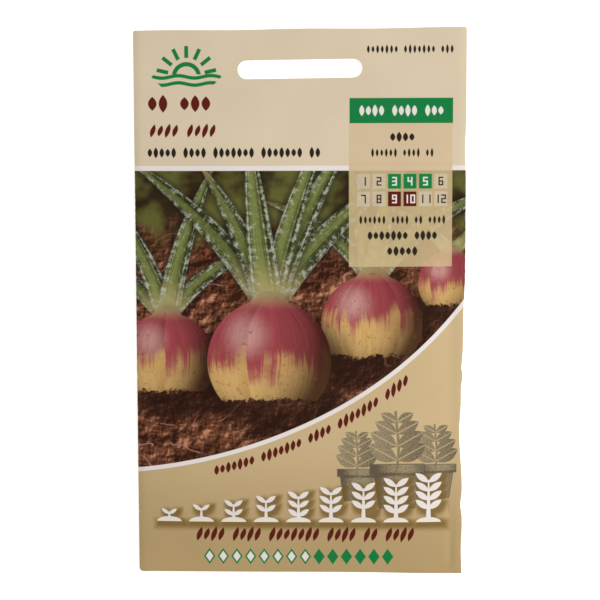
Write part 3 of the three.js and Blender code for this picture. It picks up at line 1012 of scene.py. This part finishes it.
class Artwork:
    """Layers of ink on one printed material, each laid over the ones before it."""

    def __init__(self, name, colour=None):
        self.material, self.inks, self.shader = new_material(name)
        self.x, self.y = self.inks.attribute("across"), self.inks.attribute("up")
        self.colour = colour or self.inks.use(CREAM_GROUND, y=self.y)["ground colour"]

    def lay(self, share, colour):
        self.colour = self.inks.mix(share, self.colour, colour)

    def row(self, colour, left, right, middle, *style):
        """A level row of printed seeds between left and right."""
        self.row_along(colour, self.x, self.y - middle, left, right, *style)

    def row_along(self, colour, x, y, left, right, height, pitch, fat, slant, voice):
        """A row of printed seeds in given coordinates."""
        cells = round((right - left) / pitch)
        pitch = (right - left) / cells
        made = self.inks.use(
            SEED_ROW, x=x - left, y=y, pitch=pitch, half_width=pitch * fat, half_height=height / 2,
            slant=slant, cells=cells, gaps=whole_words(cells, voice),
        )
        self.lay(self.inks.fill(made["distance"]), colour)

    def finish(self, roughness=PRINT_ROUGHNESS):
        """Lays the paper's fibres and rubbed outline over the inks and sets the surface."""
        inks = self.inks
        made = inks.use(PAPER_SURFACE, inset=inks.attribute("inset"))
        self.lay(made["rubbed"] * 0.55, PAPER_RUBBED)
        self.lay(inks.slide(made["fibre"] + made["cloud"] * 0.7, 0.55, 1.15, 0.0, 0.09), PAPER_FIBRE)
        inks.wire(self.shader, {
            "Base Color": self.colour, "Roughness": inks.slide(made["cloud"], 0.3, 0.7, *roughness),
            "Specular IOR Level": 0.06,
        })
        inks.relief(self.shader, made["fibre"], 0.3, 0.03)
        return self.material


def sun_badge(art):
    """A rising half sun with rays over two wavy furrows, in green line."""
    inks = art.inks
    x, y = art.x - SUN["x"], art.y - SUN["y"]
    reach = inks.length(x, y)
    disc = abs(reach - SUN["disc"]) - 0.55
    step = math.pi / SUN["rays"]
    beside = abs(inks.math("FRACT", inks.math("ARCTAN2", y, x) / step) - 0.5) * step * reach
    ray = inks.most(abs(reach - SUN["ray_middle"]) - 1.5, beside - 0.5)
    rising = inks.most(inks.least(disc, ray), 0.6 - y)
    wavy = y + 0.9 + inks.math("SINE", x * 0.75) * 0.3
    furrows = inks.most(abs(abs(wavy) - 0.9) - 0.45, abs(x) + abs(y) - SUN["furrow_half"])
    art.lay(inks.fill(inks.least(rising, furrows)), GREEN)


def calendar(art, left, low, pitch_x, pitch_y, flip=1.0):
    """Twelve numbered squares, with months for sowing in green and months for lifting in maroon."""
    inks = art.inks
    x = (art.x - left) * flip
    made = inks.use(MONTH_SQUARES, x=x, y=art.y - low, pitch_x=pitch_x, pitch_y=pitch_y)
    share = inks.fill(made["square"])
    sow = inks.math("LESS_THAN", abs(made["month"] - 4.0), 1.5)
    lift = inks.math("LESS_THAN", abs(made["month"] - 9.5), 1.0)
    art.lay(share * 0.25, WHITE)
    art.lay(share * sow, GREEN)
    art.lay(share * lift, MAROON)
    number = inks.fill(made["number"]) * share
    art.lay(number * (1.0 - sow) * (1.0 - lift), BLACK)
    art.lay(number * inks.most(sow, lift), WHITE)


def header_print():
    """The header: a sun over furrows, rows of seeds, and the top of the side panel."""
    art = Artwork("printed_header")
    inks = art.inks
    art.lay(inks.fill(inks.box(art.x, art.y, *PANEL_BOX)) * 0.75, PANEL)
    art.lay(inks.fill(inks.box(art.x, art.y, *TITLE_BOX)), GREEN)
    sun_badge(art)
    for row in HEADER_ROWS:
        art.row(*row)
    return art.finish()


def picture_print():
    """The picture with its white lines, and the side panel that lies over it, more see-through than in the
    header."""
    art = Artwork("printed_picture")
    inks, x, y = art.inks, art.x, art.y
    curve = curve_distance(x, y, inks.length)
    picture = inks.use(GARDEN_PICTURE, x=x, y=y)["picture colour"]
    art.lay(inks.fill(inks.most(curve, y - TOP_LINE[0])), picture)
    line = inks.most(abs(curve) - CURVE["line"], y - TOP_LINE[1])
    middle, half = sum(TOP_LINE) / 2, (TOP_LINE[1] - TOP_LINE[0]) / 2
    art.lay(inks.fill(inks.least(line, abs(y - middle) - half)), WHITE)
    above = inks.fill(TOP_LINE[0] - y)
    panel = inks.mix(above, PANEL_LOW, PANEL)
    art.lay(inks.fill(inks.box(x, y, *PANEL_BOX)) * (above * 0.2 + 0.72), panel)
    calendar(art, *FRONT_CALENDAR)
    for row in PANEL_ROWS:
        art.row(*row)
    return art.finish()


def foot_print():
    """The foot of the front: a row along the curve, engraved pots, plants at nine ages over a soft shadow,
    a slanted row and a row of lozenges."""
    art = Artwork("printed_foot")
    curve = curve_distance(art.x, art.y, art.inks.length)
    art.row_along(MAROON, art.x * CURVE_ROW_STRETCH, curve - CURVE_ROW_UNDER, *CURVE_ROW)
    for middle, foot, size in POTS:
        pot = art.inks.use(ENGRAVED_POT, x=(art.x - middle) / size, y=(art.y - foot) / size)
        art.lay(pot["cover"] * 0.8, POT_GROUND)
        art.lay(pot["dark"], ENGRAVING)
    white_plants(art, **FRONT_PLANTS)
    art.row(*FOOT_ROW)
    lozenge_row(art)
    return art.finish()


def plants(inks, x, y, pitch, stages, age=None):
    """Distance to the nearest plant of a row, each one a stage older than the last unless an age is given."""
    age = age or inks.math("FLOOR", x / pitch) / (stages - 1.0)
    return inks.use(PLANT_ROW, x=x, y=y, pitch=pitch, stages=stages, age=age)["distance"]


def white_plants(art, left, ground, pitch, stages):
    """A row of white plants, older towards the right, with cream feet, over a soft shadow of themselves."""
    inks, y = art.inks, art.y
    shaded = art.x - left - 0.7
    age = inks.clamp((shaded / pitch - 0.5) / (stages - 1.0))
    shadow = plants(inks, shaded, y - ground + 0.8, pitch, stages, age)
    art.lay(inks.slide(shadow, 2.1, -0.1, 0.0, 0.82), PLANT_SHADOW)
    printed = inks.fill(plants(inks, art.x - left, y - ground, pitch, stages))
    art.lay(printed, WHITE)
    art.lay(printed * inks.slide(y, ground + 0.7, ground, 0.0, 0.7), PLANT_FOOT)


def lozenge_row(art):
    """A row of green lozenges, the first of them filled with white."""
    inks, x, y = art.inks, art.x, art.y
    cell = inks.math("FRACT", (x - LOZENGES["left"]) / LOZENGES["pitch"]) - 0.5
    across = abs(cell) * (LOZENGES["pitch"] / LOZENGE_WIDE)
    lozenge = across + abs(y - LOZENGES["middle"]) / LOZENGE_TALL - 1.0
    lozenge = inks.most(lozenge, LOZENGES["left"] - x, x - LOZENGES["right"])
    art.lay(inks.fill(lozenge), GREEN)
    art.lay(inks.fill(inks.most(lozenge + LOZENGE_RIM, x - LOZENGES["white_to"])), WHITE)


def back_print():
    """The plain back: a green band, plants at six ages, a calendar and rows of small seeds."""
    art = Artwork("printed_back", CREAM)
    inks, x, y = art.inks, art.x, art.y
    art.lay(inks.fill(inks.box(x, y, *BACK_BAND)), GREEN)
    art.row(*BAND_ROW)
    from_left = -x + BACK_PITCH * BACK_STAGES / 2
    art.lay(inks.fill(plants(inks, from_left, y - BACK_GROUND, BACK_PITCH, BACK_STAGES)), GREEN)
    line = inks.fill(abs(y - (BACK_GROUND - 0.3)) - 0.3)
    art.lay(line * inks.fill(abs(x) - 34.0), MAROON)
    calendar(art, *BACK_CALENDAR, flip=-1.0)
    for number in range(BACK_ROWS["count"]):
        middle = BACK_ROWS["first"] - number * BACK_ROWS["step"]
        art.row(BLACK, -BACK_ROWS["half"], BACK_ROWS["half"], middle, *BACK_ROWS["style"], number)
    return art.finish()


def cut_edge():
    """The raw cut edge of the paper: pale, matt and fibrous."""
    return Artwork("cut_edge", PAPER_CUT).finish(CUT_ROUGHNESS)


# Sachet materials

def foil():
    """Aluminium laminate film: a soft metal gloss with fine creases."""
    material, inks, shader = new_material("sachet_foil")
    creases = inks.noise(4.0, 3.0, 4.0, 0.7)
    dull = inks.noise(11.0, 7.0)
    roughness = inks.slide(dull + creases * 0.4, 0.4, 1.0, 0.22, 0.42)
    colour = inks.mix(dull, FOIL_DARK, FOIL_LIGHT)
    inks.wire(shader, {"Base Color": colour, "Metallic": 0.9, "Roughness": roughness})
    inks.relief(shader, creases, 0.5, 0.2)
    return material


def seed_coat():
    """Dull, dark brown, finely netted skin."""
    material, inks, shader = new_material("seed_coat")
    net = inks.cells(0.3, 2.0)
    patch = inks.noise(2.2, 5.0, 3.0)
    colour = inks.mix(net * 0.4, inks.mix(patch, SEED_DARK, SEED_LIGHT), SEED_NET)
    inks.wire(shader, {"Base Color": colour, "Roughness": inks.slide(patch, 0.2, 0.8, 0.6, 0.8)})
    inks.relief(shader, net, 0.5, 0.04)
    return material


# Pieces

def dress(thing, node):
    """Rides on the packet's body and stands for a node of the frame, whose mesh it hides."""
    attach(thing, "root")
    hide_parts(node)


def add_packet():
    points, faces, slots = packet_mesh()
    prints = [header_print(), picture_print(), foot_print(), back_print(), cut_edge()]
    packet = make_object("packet", points, faces, prints, slots, SHARP)
    write_places(packet, points)
    dress(packet, "paper_packet")


def add_sachet():
    film = foil()
    for side, bulge, above in (("back", 0.0, 0.0), ("front", SACHET_BULGE, FILM + CLEAR["seal"])):
        piece = make_object(f"{side}_film", *film_mesh(bulge, above), [film], sharp=SHARP)
        dress(piece, f"sachet_{side}_film")
    seeds = make_object("seed_heap", *seeds_mesh(), [seed_coat()])
    dress(seeds, "seeds")


# Studio

def add_camera():
    """Looks down on the packet from above its middle, leaning towards its top and a little to its right."""
    aim = Vector(CAMERA["aim"]) * MM
    lean = Euler([math.radians(angle) for angle in CAMERA["lean"]], "XYZ").to_matrix()
    data = bpy.data.cameras.new("camera")
    data.sensor_width = CAMERA["frame"]
    data.lens = CAMERA["lens"]
    data.clip_start = 0.02
    camera = bpy.data.objects.new("camera", data)
    away = lean @ Vector((0, 0, CAMERA["away"] * MM))
    camera.matrix_world = Matrix.Translation(aim + away) @ lean.to_4x4()
    bpy.context.scene.collection.objects.link(camera)
    bpy.context.scene.camera = camera


def add_light(name, place, size, power):
    """A square soft light that points at the packet."""
    data = bpy.data.lights.new(name, "AREA")
    data.size = size
    data.energy = power
    light = bpy.data.objects.new(name, data)
    light.location = place
    light.rotation_euler = (-Vector(place)).to_track_quat("-Z", "Y").to_euler()
    bpy.context.scene.collection.objects.link(light)


def floor_paint():
    """White board with a barely uneven matt surface."""
    material, inks, shader = new_material("floor_paint")
    inks.wire(shader, {
        "Base Color": (0.94, 0.94, 0.94, 1), "Roughness": inks.noise(30.0, 1.0) * 0.1 + 0.85,
        "Emission Color": (1, 1, 1, 1), "Emission Strength": FLOOR_GLOW,
    })
    return material


def add_studio():
    """A white floor lit a little from below, an even bright surround and one soft light from the right."""
    corners = FLOOR_HALF * np.array([[-1, -1, 0], [1, -1, 0], [1, 1, 0], [-1, 1, 0]], float)
    make_object("floor", corners, np.array([[0, 1, 2, 3]]), [floor_paint()])
    world = bpy.data.worlds.new("surround")
    world.use_nodes = True
    background = world.node_tree.nodes["Background"]
    background.inputs["Color"].default_value = (1, 1, 1, 1)
    background.inputs["Strength"].default_value = SURROUND
    bpy.context.scene.world = world
    add_light("key", **KEY_LIGHT)
    bpy.context.scene.view_settings.view_transform = "Standard"


add_camera()
add_studio()
add_packet()
add_sachet()
